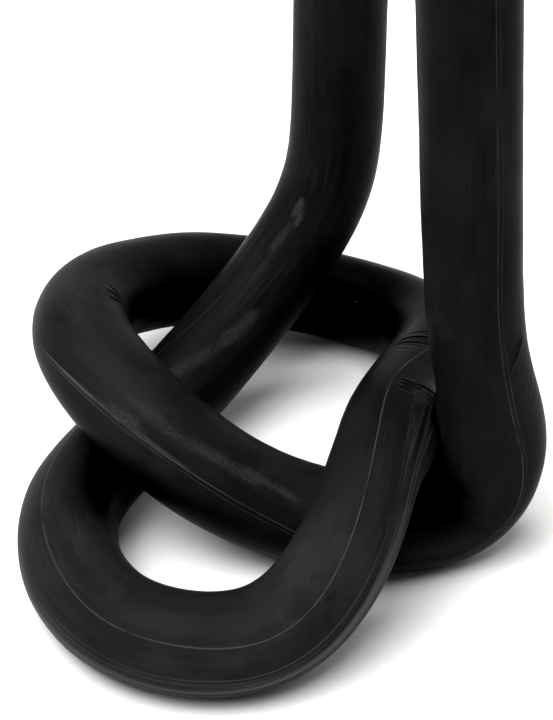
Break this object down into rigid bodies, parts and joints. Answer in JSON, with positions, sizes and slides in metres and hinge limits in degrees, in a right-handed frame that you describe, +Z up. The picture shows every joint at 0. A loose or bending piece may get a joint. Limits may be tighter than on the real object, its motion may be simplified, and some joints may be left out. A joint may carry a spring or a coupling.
{
  "type": "knotted double-ended candle",
  "caption": "Round wax candle bent into a clasp knot that stands by itself, with both wicked ends rising upright side by side.",
  "frame": {"origin": "middle of the footprint, on the table plane the candle stands on", "axes": "+Z up along the two legs, -Y towards the front loop, +X towards the leg that swells out at its foot"},
  "size_m": [0.1158, 0.1438, 0.19],
  "materials": {
    "wax": "satin",
    "cotton": "matte"
  },
  "bodies": {
    "root": {"wax_rod": "wax", "wick": "cotton"}
  },
  "joints": []
}
